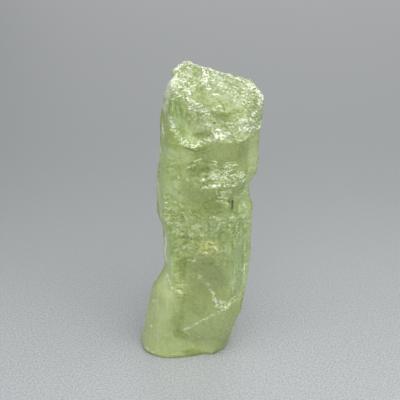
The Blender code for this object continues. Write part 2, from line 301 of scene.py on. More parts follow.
# The stone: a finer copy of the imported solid, with its broken and grown relief.
stone = {
    "cuts": 2, "weld": 0.000001, "sharpAngle": 30,
    # lower edge of the upper break on the front: x and height
    "lip": ((-4.6, 31.2), (-3.3, 30.5), (-2.9, 29.6), (-2.0, 28.45), (-1.1, 27.82), (-0.3, 27.65),
            (0.8, 28.2), (3.3, 28.3), (5.7, 28.5), (7.2, 29.2)),
    "backDamage": 32.6,  # where the break's damage ends on the back
    "facetSizes": ((1.5, 0.13), (0.75, 0.12), (0.38, 0.08)),
    "baseRelief": 0.07,
    # the lowest edge gets a painted contact shadow, dark from this height down
    "paintedContactShadow": (0.48, 0.20),  # the lowest edge is dark from this height down, in mm
    "smoothPasses": 4, "smoothFactor": 0.5,
    "smoothFrom": 0.3,  # the base below this height keeps its edge, mm
    "axis": (0.8, 0.0),  # middle that bearings are measured from, x and y
    "outside": 20,  # mm from the axis, past the stone's skin
    "floorBand": 0.005,  # what lies this close to the table is its base, mm
    "floorLumps": (1.1, 0.2),  # size in mm, and the share of the base that is lifted
    "skinLumps": (0.5, 0.02),  # size and height, mm
    "growthLines": ((0.4, 0.4, 6), 0.03),  # size along x, y and z, and height, mm
    "smoothHold": 0.9,  # how far the calm marks take the broken relief away
    "breakSides": (1.0, 2.6),  # from front to back, the lip passes into the back's damage between these
    "backWave": (1.7, 1.2), "lipWave": (0.5, 0.12),  # size and height, mm
    "lipSoft": 0.12,
    "facetTurn": 7.3,  # picks each facet's own tilt
    "facetEdge": 0.5,
}
# Round the back: hazy and cracked skin, and frosted patches.
backSkin = {
    "busyHeights": (9.0, 13.0, 27.5, 29.0),  # hazy skin fades in, full from, full to, faded out
    "busySize": 4.5, "busyFrom": (-2.0, 0.5), "busyCover": (-0.15, 0.2), "busyStrength": 0.9,
    "frostSize": (1.6, 1.6, 2.6), "frostLift": 7, "frostFrom": (-1.0, 1.0), "frostCover": (0.16, 0.5),
    "frostStrength": 0.6,
}

# What the picture shows on the front: width in mm, strength, and the pixels of its path.
# Frost marks: partly the white, sugary frost of the breaks, partly painted highlights where rims, lips, folds
# and ledges catch the light, as on scoopRim, scoopLip, leftFold and lobeRim.
frostAndHighlightMarks = {
    "scoopRim": (0.44, 0.66, (169, 120), (171.5, 126), (175, 133)),
    "scoopRimLow": (0.48, 0.64, (175, 132), (179.5, 138.5), (184.5, 143), (191, 146)),
    "scoopLip": (0.38, 0.7, (188, 145.5), (194, 145.5), (200, 143.5), (207, 141.5)),
    "lipEnd": (0.32, 0.54, (206, 142), (214, 140.5)),
    "snowPatch": (0.46, 0.72, (215, 134), (221, 136), (227, 133)),
    "snowTop": (0.24, 0.7, (213, 130), (221, 131), (228, 131)),
    "rightCrumbs": (0.3, 0.72, (241, 130), (246, 128), (248, 126)),
    "rightSpot": (0.18, 0.75, (241, 122), (247, 121)),
    "rightRough": (0.55, 0.36, (234, 126), (240, 116), (248, 112)),
    "cornerWhite": (0.5, 0.84, (258, 92), (260.5, 97), (259.5, 103)),
    "crestLeft": (0.26, 0.8, (175, 71), (177, 66), (181, 62.5)),
    "crestMiddle": (0.26, 0.95, (193, 63.5), (199, 64.5), (206, 66)),
    "crestRight": (0.26, 0.9, (217, 69.5), (226, 71.5), (232, 72.5)),
    "crestFar": (0.3, 1.0, (235, 75), (242, 77), (249, 82), (256, 85), (261, 90)),
    "cornerLow": (0.22, 0.5, (256, 124), (257, 131)),
    "backRim": (0.4, 0.7, (175, 70), (181, 64), (189, 63), (197, 66), (206, 68), (216, 72), (229, 75)),
    "backRimRight": (0.4, 0.78, (229, 75), (239, 79), (248, 85), (257, 90)),
    "leftTip": (0.45, 0.55, (177, 72), (184, 66), (190, 68)),
    "topBright": (0.5, 0.82, (204, 70), (207, 74), (205, 78)),
    "topPale": (0.5, 0.52, (216, 75), (224, 78)),
    "ridgeCrumbs": (0.42, 0.62, (172, 92), (179, 95), (187, 99), (197, 105)),
    "ridgeEdge": (0.42, 0.6, (196, 103), (203, 109), (208, 113)),
    "ridgeSpots": (0.24, 0.85, (178, 94), (180, 94.5)),
    "ridgeSpotsTwo": (0.24, 0.8, (188, 91), (190, 94)),
    "ridgeStart": (0.16, 0.7, (205, 92), (210, 90)),
    "ridgeRight": (0.18, 0.72, (218, 107), (223, 106)),
    "ridgeFarther": (0.18, 0.6, (240, 104), (244, 103)),
    "leftEdge": (0.44, 1.05, (162.5, 126), (163, 130), (163.5, 134)),
    "shoulderEdge": (0.45, 0.62, (174, 78), (172, 90), (172, 100)),
    "leftShoulder": (0.8, 0.64, (171, 80), (168, 90), (168, 100)),
    "shoulderStrip": (0.6, 0.6, (168, 86), (166, 96), (165, 104)),
    "shoulderFine": (0.6, 0.46, (178, 84), (184, 92), (176, 98)),
    "topLeft": (1.1, 0.46, (180, 76), (186, 84), (192, 82)),
    "topMiddle": (0.9, 0.39, (200, 86), (212, 84), (224, 90)),
    "topFar": (0.8, 0.38, (236, 90), (246, 96), (250, 104)),
    "frontCrumbs": (0.45, 0.5, (184, 113), (190, 117)),
    "belowRidge": (0.5, 0.45, (190, 108), (198, 116), (206, 121)),
    "shelf": (0.16, 0.5, (217, 122), (224, 123), (231, 124)),
    "stepFieldTop": (0.45, 0.62, (204, 174), (214, 172), (226, 172)),
    "stepFieldLow": (0.4, 0.7, (214, 183), (224, 182), (236, 183)),
    "ledgeRight": (0.34, 0.58, (236, 198), (243, 194), (247, 186)),
    "stepField": (0.8, 0.74, (214, 175), (222, 180), (231, 178)),
    "stepFieldRight": (0.6, 0.6, (231, 172), (240, 174), (244, 180)),
    "zigzag": (0.16, 0.66, (200, 183), (205, 179), (209, 176.5)),
    "arrowField": (0.45, 0.62, (219, 193), (228, 192), (233, 190)),
    "slantStreak": (0.2, 0.55, (246, 177), (244, 182), (241, 187)),
    "paleBelow": (0.6, 0.4, (241, 205), (250, 206)),
    "bandStart": (0.26, 0.36, (160, 148), (168, 149)),
    "lowSpeck": (0.14, 0.62, (201.5, 197), (202.5, 199)),
    "lowSpeckLeft": (0.12, 0.55, (195, 202), (196, 203)),
    "edgeSpeck": (0.2, 0.6, (160, 186), (161, 190)),
    "edgeSpeckLow": (0.17, 0.8, (166.5, 202), (166, 206), (167, 209)),
    "edgeSpeckRight": (0.14, 0.72, (174, 203), (176, 202)),
    "middleHaze": (1.0, 0.34, (176, 224), (196, 226), (214, 221)),
    "middleRight": (0.8, 0.38, (226, 224), (240, 222)),
    "middleLow": (0.7, 0.42, (176, 236), (190, 232), (202, 236)),
    "middleLeft": (0.15, 0.74, (189.5, 215), (190, 217)),
    "middleLeftLow": (0.15, 0.62, (189, 220), (190, 222)),
    "stainGlow": (0.26, 0.6, (206, 248), (210, 247), (216, 250)),
    "leftOfStain": (0.2, 0.56, (181, 246), (187, 249), (193, 249)),
    "crackEnd": (0.34, 1.0, (215, 300), (216.5, 305)),
    "crackPatch": (0.5, 0.8, (221, 303), (226, 305), (230, 302)),
    "crackRight": (0.26, 0.62, (232, 299), (236, 297), (240, 295)),
    "rightDashes": (0.2, 0.62, (244.5, 245), (245, 262)),
    "lowSpots": (0.17, 0.78, (180, 292), (182, 294)),
    "lowSpotsLeft": (0.2, 0.52, (174, 288), (178, 291), (185, 292)),
    "lowStreak": (0.17, 0.46, (182, 275), (182, 288)),
    "leftFold": (0.28, 0.9, (167.5, 275), (169.5, 281), (171, 287)),
    "lobeSpecks": (0.16, 0.8, (150, 326), (152, 325.5)),
    "lobeSpecksTwo": (0.15, 0.72, (156, 325), (160, 326.5)),
    "lobeCrease": (0.13, 0.46, (168, 339), (173, 341)),
    "lobeRim": (0.24, 0.56, (144, 345), (148, 350), (154, 353)),
}
# Fine straight lines, which do not wander: cracks, stripes and specks, and painted highlights along lit edges
# and ledges, as edgeLine, stepBright and arrowPoint.
lineMarks = {
    "slantLine": (0.17, 0.7, (250.5, 120), (253, 115), (256, 111)),
    "crack": (0.25, 0.8, (199, 276), (205, 282), (211, 288)),
    "crackLow": (0.2, 0.84, (210, 290), (213.5, 293), (214, 298)),
    "footLine": (0.21, 0.66, (183, 330), (205, 319), (227, 308)),
    "edgeLine": (0.34, 1.0, (165.8, 236), (165.7, 249), (166.2, 261)),
    "stepBright": (0.18, 1.0, (212, 187.5), (217, 186.5), (220, 186.5)),
    "stepBrightRight": (0.2, 1.0, (225, 186.5), (228.5, 185.5)),
    "stepBrightLeft": (0.17, 0.92, (203, 188), (206, 189), (209, 188)),
    "arrowPoint": (0.16, 1.0, (221, 198), (224, 195.5)),
    "ridgeMiddle": (0.18, 0.8, (214, 94), (218, 94)),
    "ridgeFar": (0.18, 0.8, (229, 101.5), (233.5, 101)),
    "aboveStain": (0.22, 0.92, (207, 243.5), (209, 242.5), (212, 243)),
    "besideStain": (0.24, 0.95, (215, 247), (217, 250)),
    "stainFoot": (0.18, 0.9, (204, 253), (207, 253)),
    "rightDot": (0.17, 0.9, (244, 267), (244.5, 274)),
    "rightDotLow": (0.14, 0.62, (245, 277), (245, 284)),
    "stripeOne": (0.13, 0.6, (231, 266), (230.5, 284)),
    "stripeLeft": (0.12, 0.56, (224, 262), (223.5, 274)),
    "stripeHigh": (0.12, 0.56, (239, 232), (238.5, 248)),
    "stripeTwo": (0.13, 0.56, (235.5, 262), (235, 280)),
    "stripeThree": (0.12, 0.52, (240, 272), (239.5, 288)),
    "leftSpeck": (0.16, 0.72, (178, 177.5), (180, 179)),
    "leftStreak": (0.15, 0.62, (186, 179), (189, 180.5)),
}
# Small dark places, painted as shade: gaps, undercuts and hollows, and the shade under lips and steps.
shadeMarks = {
    "underLip": (0.34, 1.2, (188, 150.5), (195, 151.5), (204, 150)),
    "underLipRight": (0.2, 0.55, (203, 152), (212, 150)),
    "recess": (0.34, 1.1, (197, 136.5), (203, 135), (208, 134.5)),
    "recessTail": (0.16, 0.7, (194, 140), (197, 138)),
    "lipFold": (0.2, 0.5, (198, 113), (198, 124)),
    "darkFacet": (0.74, 0.68, (174, 104), (180, 112)),
    "pointLine": (0.12, 0.9, (210, 120), (214, 122.5)),
    "shelfUnder": (0.15, 0.55, (217, 126.5), (227, 127.5)),
    "topHollow": (0.28, 0.7, (227, 83), (231, 85.5)),
    "topHollowLeft": (0.2, 0.55, (195, 79), (197, 82)),
    "topLine": (0.14, 0.7, (197, 90), (204, 88)),
    "topLineRight": (0.18, 0.45, (238, 92), (244, 90)),
    "ridgeUnder": (0.16, 0.45, (230, 105), (234, 104)),
    "rightHollow": (0.2, 0.45, (243, 106), (247, 106)),
    "triangle": (0.3, 1.2, (206, 184.5), (210, 182), (212, 185)),
    "stepBack": (0.38, 0.8, (190, 170), (198, 172), (206, 169)),
    "stepShade": (0.34, 0.7, (192, 175), (202, 175)),
    "stepPoints": (0.17, 0.85, (222, 174), (224, 177)),
    "stepPointsRight": (0.14, 0.5, (236, 178), (240, 183)),
    "underSteps": (0.18, 0.8, (214, 191), (219, 190), (226, 190.5), (234, 190)),
    "stepGap": (0.18, 0.6, (214, 192), (216, 197), (219, 200)),
    "stepHollow": (0.22, 0.8, (230, 176), (234, 179)),
    "stepHollowTop": (0.22, 0.8, (217, 169), (222, 170)),
    "stepHollowRight": (0.22, 0.75, (238, 190), (244, 188)),
    "bandUnder": (0.24, 0.45, (203, 160), (212, 161)),
    "needleHalo": (0.22, 0.6, (229, 203), (232, 207)),
    "hollowPoints": (0.2, 0.6, (193, 212), (199, 211)),
    "hollowRight": (0.24, 0.6, (214, 213), (220, 212)),
    "midPits": (0.14, 0.9, (184, 238), (188, 239), (192, 240)),
    "midPitsRight": (0.14, 0.5, (196, 238), (202, 240)),
    "leftMottle": (0.22, 0.4, (175, 167), (181, 170)),
    "seam": (0.2, 0.34, (167, 285), (170, 305), (174, 327)),
    "chip": (0.26, 0.8, (186, 352), (193, 351), (199, 353)),
    "lobeHairs": (0.1, 0.5, (158, 343), (168, 341), (176, 344)),
    "underEdge": (0.32, 0.62, (160, 140), (168, 145), (176, 147)),
}
# Small fracture steps. The stone is set back above each line: depth and reach in mm, frost with a painted
# highlight on the ledge, path.
stepMarks = {
    "stepOne": (0.24, 0.6, 0.62, (188, 168), (194, 165), (202, 162)),
    "stepTwo": (0.22, 0.6, 0.6, (211, 164), (215, 165), (218, 166.5)),
    "stepThree": (0.2, 0.6, 0.62, (224, 167), (228, 166), (238, 165.5)),
    "stepFour": (0.26, 0.6, 0.45, (196, 185), (205, 181), (211, 176)),
    "stepFive": (0.34, 0.9, 0.7, (202, 189), (212, 187), (220, 187), (230, 186), (238, 184)),
    "arrow": (0.24, 0.5, 0.6, (217, 193), (222, 198), (227, 195)),
    "ledgeEdge": (0.24, 0.6, 0.5, (217, 201), (233, 200), (243, 196), (247, 188), (249, 178)),
    "leftStep": (0.1, 0.5, 0.3, (174, 203), (182, 206), (194, 208)),
    "middleStep": (0.14, 0.5, 0.66, (212, 217), (217, 219), (221, 218)),
    "middleStepRight": (0.12, 0.5, 0.45, (229, 218), (234, 217), (240, 217)),
    "pitStep": (0.12, 0.5, 0.3, (180, 240), (187, 241), (195, 242)),
    "stainStep": (0.14, 0.5, 0.6, (203, 252), (208, 254), (215, 252)),
    "whiteBelow": (0.14, 0.5, 0.62, (188, 261), (192, 262), (196, 260)),
    "crackStep": (0.2, 0.7, 0.5, (213, 305), (221, 308), (231, 304), (241, 297)),
}
busyMarks = {
    "steps": (1.5, 1.0, (206, 182), (222, 178), (240, 180)),
    "aboveSteps": (0.9, 0.5, (190, 165), (214, 166), (234, 166)),
    "leftFront": (1.4, 0.45, (172, 165), (184, 180), (172, 200)),
    "middle": (2.2, 0.85, (176, 222), (205, 230), (238, 226)),
    "stain": (1.6, 0.95, (186, 248), (216, 250)),
    "leftEdge": (0.8, 0.8, (162, 190), (168, 212)),
    "leftEdgeLow": (0.8, 0.3, (168, 228), (170, 262)),
    "right": (1.0, 0.35, (236, 240), (240, 290)),
    "low": (1.4, 0.45, (186, 268), (210, 275)),
    "lowStrip": (0.9, 0.7, (180, 275), (182, 292)),
    "crackPatch": (0.6, 0.8, (218, 302), (230, 303)),
}
# Sharp grooves: depth in mm, width, path.
grooves = {
    "underLip": (0.22, 0.2, (186, 149), (194, 152), (203, 150), (209, 147)),
    "lipFold": (0.16, 0.14, (198, 113), (198, 124)),
    "recess": (0.09, 0.34, (196, 137), (202, 135), (209, 134)),
    "underStepField": (0.12, 0.16, (204, 191), (214, 190), (226, 189)),
    "midPits": (0.12, 0.13, (184, 238), (188, 239), (193, 240)),
    "rightOfSnow": (0.05, 0.2, (231, 128), (236, 134), (238, 139)),
    "topFold": (0.16, 0.2, (197, 88), (206, 92), (214, 90)),
    "topFoldRight": (0.14, 0.18, (229, 84), (236, 87), (243, 93)),
    "lobeSeam": (0.1, 0.16, (168, 290), (172, 308), (175, 328)),
}
# Short fracture steps strewn all round the stone by a fixed seed.
strewnSteps = {
    "seed": 11, "count": 120, "heights": (6.0, 30.5), "length": (5, 26), "depth": (0.04, 0.13),
    "from": 62, "to": 285, "points": 5,  # bearings that they keep to, so that the front keeps its own
    "reach": (0.25, 0.7), "frostAndHighlight": (0.15, 0.75), "sway": 0.35,
}
smoothMarks = {
    "darkFacet": (0.95, 1.0, (174, 106), (180, 112)),
    "scoopFloor": (1.15, 1.1, (180, 124), (186, 130), (190, 139)),
    "oliveBreak": (0.6, 0.8, (214, 115), (226, 117)),
    "topCalm": (0.9, 0.75, (204, 98), (214, 100), (224, 97)),
    "topCalmLow": (0.5, 0.6, (230, 108), (240, 110)),
}
clearMarks = {
    "bandWindow": (1.3, 0.8, (205, 154), (222, 155), (240, 153)),
    "oliveWindow": (1.3, 0.85, (190, 194), (205, 197), (213, 203)),
    "darkFacet": (0.8, 0.25, (175, 106), (179, 113)),
    "oliveBreak": (0.55, 0.9, (214, 115), (226, 117)),
    "shadowRecess": (0.32, 1.0, (197, 136), (208, 135)),
    "stepShadow": (0.35, 1.0, (208, 184), (213, 182)),
    "stepShade": (0.35, 0.8, (192, 170), (208, 170)),
    "needleWindow": (0.4, 0.6, (232, 202), (232, 208)),
    "lowWindow": (1.3, 1.8, (205, 268), (214, 280)),
    "lowDark": (1.2, 1.0, (186, 268), (200, 286)),
    "lowWindowLeft": (1.0, 0.5, (190, 300), (200, 308)),
}
# Paler, milkier places. On the lobe, the left shoulder and flank and along the outlines they are painted
# light: the glow of light coming through the stone, and pale rims at the outline.
paleAndGlowMarks = {
    "lobe": (2.6, 0.9, (150, 285), (152, 318), (150, 340)),
    "lobeUpper": (1.4, 1.0, (162, 268), (160, 285)),
    "scoopFloor": (1.05, 0.45, (180, 124), (186, 130), (190, 139)),
    "leftShoulder": (0.9, 1.4, (171, 82), (167, 102)),
    "leftFlank": (1.5, 0.62, (163, 150), (163, 185), (166, 215)),
    "leftFront": (1.5, 0.5, (174, 150), (170, 175), (172, 200)),
    "leftOutline": (0.6, 1.2, (160, 112), (159, 150), (158.5, 185), (161, 215)),
    "bandLeft": (0.9, 0.65, (166, 156), (184, 156)),
    "foot": (1.3, 0.45, (175, 345), (205, 345)),
    "footRight": (0.8, 0.4, (204, 342), (216, 346)),
    "rightFlank": (0.9, 0.55, (255, 140), (252, 165), (247, 215)),
    "rightBelow": (0.9, 0.6, (244, 204), (248, 222)),
    "wholeFoot": (2.4, 0.3, (190, 320), (215, 325)),
    "leftEdgeLow": (0.9, 0.9, (165, 228), (167, 262)),
    "darkFacet": (0.8, 0.35, (174, 104), (180, 112)),
    "stain": (0.7, 0.6, (205, 247), (212, 248)),
    "shoulderStrip": (0.7, 1.0, (167, 88), (165, 106)),
    "leftEdgeUpper": (0.7, 1.3, (161, 112), (160, 150)),
    "stripes": (1.1, 0.25, (238, 236), (236, 285)),
    "steps": (1.2, 0.4, (208, 178), (240, 178)),
    "rightEdgeMiddle": (0.7, 0.4, (249, 210), (249, 242)),
    "bandMiddle": (0.8, 0.3, (205, 154), (235, 153)),
    "midFront": (1.2, 0.15, (186, 222), (232, 222)),
    "topLeft": (1.6, 0.1, (181, 74), (192, 78), (200, 88)),
    "rightEdgeLow": (0.8, 0.55, (248, 255), (245, 285), (238, 315)),
    "lowLeft": (0.9, 0.4, (176, 225), (178, 262)),
}
coolMarks = {
    "stripes": (1.4, 0.5, (238, 236), (236, 285)),
    "stripesLeft": (0.8, 0.35, (224, 250), (224, 282)),
    "middlePatch": (0.9, 0.7, (212, 229), (217, 233)),
    "stepPatch": (0.6, 0.6, (222, 168), (226, 172)),
    "lowPatch": (0.9, 0.4, (186, 262), (192, 275)),
    "darkFacet": (0.8, 0.7, (174, 104), (180, 112)),
    "scoopFloor": (1.0, 0.4, (180, 124), (186, 130), (190, 139)),
}
goldMarks = {
    "stain": (0.95, 0.95, (204, 247), (208, 248), (212, 247)),
    "stainLow": (0.35, 0.6, (207, 252), (213, 251)),
    "lobeTint": (2.6, 0.22, (151, 288), (152, 318), (156, 345)),
    "footTint": (0.8, 0.3, (196, 348), (206, 346), (214, 344)),
    "baseTint": (0.5, 0.22, (166, 354), (176, 355), (188, 354)),
}
pitMarks = {
    "blackPoint": (0.12, 1.1, (214.5, 123), (215, 123)),
    "midPoints": (0.09, 0.7, (185, 238), (187, 239)),
    "midPointsRight": (0.09, 0.7, (190, 239), (192, 240)),
    "lobePoint": (0.07, 0.6, (149, 341), (149.5, 341)),
    "needle": (0.17, 1.3, (232.3, 201), (232.0, 208.5)),
    "needleShort": (0.1, 0.8, (229, 201.5), (231.6, 203)),
}
# Small lumps and dents of the outline: shift to the right and up in mm, width and path.
nudges = {
    "tipDent": (0.27, 0.0, 0.55, (171, 71), (171.5, 76)),
    "tipLump": (-0.26, 0.08, 0.4, (177, 66), (178.5, 64)),
    "rimDip": (0.0, -0.1, 0.32, (194, 63), (196, 64)),
    "rimLump": (0.0, 0.1, 0.4, (186, 62), (190, 62)),
    "rimLumpMiddle": (0.0, 0.1, 0.35, (227, 72), (231, 73)),
    "rimLumpFar": (0.0, 0.12, 0.35, (240, 76), (243, 77)),
    "leftLow": (-0.12, 0.0, 0.8, (164.5, 238), (164.5, 250)),
    "notch": (-0.12, 0.0, 0.6, (254, 176), (253, 179)),
    "armRight": (0.1, 0.0, 0.6, (246, 290), (245, 298)),
    "footSide": (0.17, 0.0, 0.9, (240.5, 300), (238.5, 307), (236.5, 313)),
}
# Marks are drawn on wandering places, so that no edge is even: size and reach of the wander in mm.
wander = {"seed": 1795638527, "fine": ((0.5, 0.13), (0.22, 0.06)), "wide": ((1.6, 0.45), (0.6, 0.15))}
stroke = {"full": 0.35, "gone": 1.5}  # shares of its width where a mark is full and where it ends
# How a step fades: degrees before and after its ends, and mm below and above its line for its recess and for
# its frost and painted highlight.
stepFade = {"ends": (5, 4), "rise": (-0.05, 0.10), "frostAndHighlightBelow": (-0.22, -0.05), "frostAndHighlightAbove": (0.42, 0.10)}


def along(stations, key):
    return float(np.interp(key, [s[0] for s in stations], [s[1] for s in stations]))


def ease(low, high, value):
    share = np.clip((value - low) / (high - low), 0, 1)
    return share * share * (3 - 2 * share)


def onStone(tree, px, py, depth=0.0):
    # the point of the stone that a pixel of the picture shows, or one a little below it
    ray = pixelRay(px, py)
    hit, normal, _, _ = tree.ray_cast(cameraPlace(), ray)
    if hit is None:
        hit, normal, _, _ = tree.find_nearest(cameraPlace() + ray * camera["distance"] * mm)
    return hit / mm - normal * depth


def strokeShare(tree, places, path, width):
    # one on the path of a mark, nought away from it
    points = [onStone(tree, px, py) for px, py in path]
    nearest = np.full(len(places), 1e9)
    for start, end in zip(points, points[1:]):
        run = np.array(end - start)
        offset = places - np.array(start)
        share = np.clip(offset @ run / max(run @ run, 1e-9), 0, 1)
        gap = np.linalg.norm(offset - share[:, None] * run, axis=1)
        nearest = np.minimum(nearest, gap)
    return ease(width * stroke["gone"], width * stroke["full"], nearest)


def wandered(places, kind):
    moved = places.copy()
    for size, reach in wander[kind]:
        moved += np.array([noise.noise_vector(Vector(place) / size)[:] for place in places]) * reach
    return moved


def markShares(tree, places, marks):
    total = np.zeros(len(places))
    for width, strength, *path in marks.values():
        total = np.maximum(total, strokeShare(tree, places, path, width) * strength)
    return total


def bearings(places):
    # degrees around the stone from the front, positive to the right
    return np.degrees(np.arctan2(places[:, 0] - stone["axis"][0], stone["axis"][1] - places[:, 1]))


def busyShares(tree, places):
    # the picture's own places in front, and wide patches round the back
    low, lowFull, highFull, high = backSkin["busyHeights"]
    patches = np.array([noise.noise(Vector(place) / backSkin["busySize"]) for place in places])
    behind = ease(*backSkin["busyFrom"], places[:, 1]) * ease(*backSkin["busyCover"], patches)
    behind *= ease(low, lowFull, places[:, 2]) * ease(high, highFull, places[:, 2])
    return np.maximum(behind * backSkin["busyStrength"], markShares(tree, places, busyMarks))


def backFrost(places):
    # frosted patches, longer up the stone than across it
    wide, deep, tall = backSkin["frostSize"]
    lift = backSkin["frostLift"]
    patches = np.array([noise.noise(Vector((x / wide, y / deep, z / tall + lift))) for x, y, z in places])
    behind = ease(*backSkin["frostFrom"], places[:, 1])
    return behind * ease(*backSkin["frostCover"], patches) * backSkin["frostStrength"]


def nudged(tree, places):
    # how far the lumps and dents shift each place, in mm
    _, right, up = cameraAxes()
    total = np.zeros(places.shape)
    for sideways, upwards, width, *path in nudges.values():
        shift = np.array(right * sideways + up * upwards)
        total += strokeShare(tree, places, path, width)[:, None] * shift
    return total


def stepLines(tree):
    # depth, reach, frost, bearings and heights of the picture's steps and of the strewn ones
    for depth, reach, strength, *path in stepMarks.values():
        line = np.array([onStone(tree, px, py) for px, py in path])
        yield depth, reach, strength, bearings(line), line[:, 2]
    draw = random.Random(strewnSteps["seed"])
    for _ in range(strewnSteps["count"]):
        middle = (draw.uniform(strewnSteps["from"], strewnSteps["to"]) + 180) % 360 - 180
        half = draw.uniform(*strewnSteps["length"]) / 2
        height = draw.uniform(*strewnSteps["heights"])
        turn = np.linspace(middle - half, middle + half, strewnSteps["points"])
        rise = height + np.array([draw.uniform(-1, 1) * strewnSteps["sway"] for _ in turn])
        depth = draw.uniform(*strewnSteps["depth"])
        yield depth, draw.uniform(*strewnSteps["reach"]), draw.uniform(*strewnSteps["frostAndHighlight"]), turn, rise


def stepShares(tree, places):
    # how far the steps set the surface back, and the frost and painted highlight along their edges
    around = bearings(places)
    recess = np.zeros(len(places))
    frostAndHighlight = np.zeros(len(places))
    before, after = stepFade["ends"]
    foot, top = stepFade["rise"]
    for depth, reach, strength, turn, rise in stepLines(tree):
        height = places[:, 2] - np.interp(around, turn, rise)
        first, last = turn[0], turn[-1]
        ends = ease(first - before, first + after, around) * ease(last + before, last - after, around)
        recess = np.maximum(recess, depth * ends * ease(foot, top, height) * ease(reach, top, height))
        edge = ease(*stepFade["frostAndHighlightBelow"], height) * ease(*stepFade["frostAndHighlightAbove"], height)
        frostAndHighlight = np.maximum(frostAndHighlight, strength * ends * edge)
    for depth, width, *path in grooves.values():
        recess += depth * strokeShare(tree, places, path, width)
    return recess, frostAndHighlight


def facet(place, size):
    distances, points = noise.voronoi(place / size)
    tilt = noise.cell_vector(points[0] * stone["facetTurn"]) - Vector((0.5, 0.5, 0.5))
    return (place / size - points[0]).dot(tilt) + stone["facetEdge"] * (distances[1] - distances[0])


def waved(place, lumps):
    size, height = lumps
    return noise.noise(place / size) * height


def brokenShare(place):
    front = along(stone["lip"], place.x)
    back = stone["backDamage"] + waved(place, stone["backWave"])
    share = ease(*stone["breakSides"], place.y)
    edge = front * (1 - share) + back * share + waved(place, stone["lipWave"])
    return float(ease(edge - stone["lipSoft"], edge + stone["lipSoft"], place.z))


def addObject(name, mesh, material):
    data = bpy.data.meshes.new(name)
    mesh.to_mesh(data)
    mesh.free()
    data.materials.append(material)
    data.shade_smooth()
    added = bpy.data.objects.new(name, data)
    bpy.context.scene.collection.objects.link(added)
    return added


def linkPiece(name, mesh, material):
    piece = addObject(name, mesh, material)
    piece.data.set_sharp_from_angle(angle=math.radians(stone["sharpAngle"]))
    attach(piece, "root")
    return piece


def makeStone():
    mesh = bmesh.new()
    mesh.from_mesh(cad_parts["heliodor_crystal"].data)
    bmesh.ops.remove_doubles(mesh, verts=mesh.verts[:], dist=stone["weld"])
    tree = BVHTree.FromBMesh(mesh)
    for _ in range(stone["cuts"]):
        bmesh.ops.subdivide_edges(mesh, edges=mesh.edges[:], cuts=1, use_grid_fill=True)
    bmesh.ops.triangulate(mesh, faces=mesh.faces[:])
    for _ in range(stone["smoothPasses"]):
        free = [vertex for vertex in mesh.verts if vertex.co.z > stone["smoothFrom"] * mm]
        bmesh.ops.smooth_vert(mesh, verts=free, factor=stone["smoothFactor"], use_axis_x=True,
                              use_axis_y=True, use_axis_z=True)
    mesh.normal_update()
    places = np.array([vertex.co[:] for vertex in mesh.verts]) / mm
    noise.seed_set(wander["seed"])  # without it the wander would follow the clock
    fine = wandered(places, "fine")
    wide = wandered(places, "wide")
    shares = {
        "frostAndHighlight": np.maximum(markShares(tree, fine, frostAndHighlightMarks), markShares(tree, places, lineMarks)),
        "shade": markShares(tree, fine, shadeMarks),
        "clear": markShares(tree, wide, clearMarks),
        "cool": markShares(tree, wide, coolMarks),
        "gold": markShares(tree, fine, goldMarks),
        "pit": markShares(tree, places, pitMarks),
        "smooth": markShares(tree, wide, smoothMarks),
        "paleAndGlow": markShares(tree, wide, paleAndGlowMarks),
        "busy": busyShares(tree, places),
        "broken": np.array([brokenShare(vertex.co / mm) for vertex in mesh.verts]),
    }
    # painted contact shadow along the lowest edge
    shares["shade"] = np.maximum(shares["shade"], ease(*stone["paintedContactShadow"], places[:, 2]))
    recess, ledges = stepShares(tree, places)
    shifts = nudged(tree, places)
    shares["frostAndHighlight"] = np.maximum(np.maximum(shares["frostAndHighlight"], ledges), backFrost(fine))
    shares["broken"] *= 1 - stone["smoothHold"] * shares["smooth"]
    layers = {name: mesh.verts.layers.float.new(name) for name in shares}
    low, high = cadBox
    lineSize, lineHeight = stone["growthLines"]
    lumpSize, lifted = stone["floorLumps"]
    for index, vertex in enumerate(mesh.verts):
        for name, layer in layers.items():
            vertex[layer] = float(shares[name][index])
        place = vertex.co / mm
        broken = shares["broken"][index]
        rise = sum(facet(place, size) * height for size, height in stone["facetSizes"]) * broken
        rise += waved(place, stone["skinLumps"]) - recess[index]
        stretched = Vector([c / size for c, size in zip(place, lineSize)])
        rise += lineHeight * (1 - broken) * noise.noise(stretched)
        if place.z < stone["floorBand"]:
            vertex.co.z += max(0.0, noise.noise(place / lumpSize) + lifted) * stone["baseRelief"] * mm
            rise = 0.0
        vertex.co += (vertex.normal * rise + Vector(shifts[index])) * mm
        vertex.co = Vector(min(max(c, a), b) for c, a, b in zip(vertex.co, low, high))
    print("stone has", len(mesh.faces), "faces")
    piece = linkPiece("crystal_body", mesh, berylMaterial())
    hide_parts("heliodor_crystal")
    return tree


# What is sealed in the stone: healed cracks, flakes, needles and a rusty stain.
sealed = {
    "margin": 0.12,  # least depth under the surface, mm
    "lostDepth": -0.25,  # a sheet's faces beyond this depth are cut away, mm
    "sheetStep": 0.22, "fewestSteps": 4,
    "sheetThickness": 0.02,
    "weld": 0.06,
    "wave": 0.35, "waveSizes": (1.6, 0.6), "fineWave": 0.3,
    "gloss": 0.3, "bump": 0.01,
    "veilColour": (0.64, 0.80, 0.38, 1),
    "veilBright": (0.90, 0.96, 0.72, 1),
    "rustColour": (0.74, 0.74, 0.26, 1),
    "rustBright": (0.95, 0.95, 0.58, 1),
    "needleColour": (0.02, 0.024, 0.008, 1),
    "tubeColour": (0.74, 0.86, 0.52, 1),
}
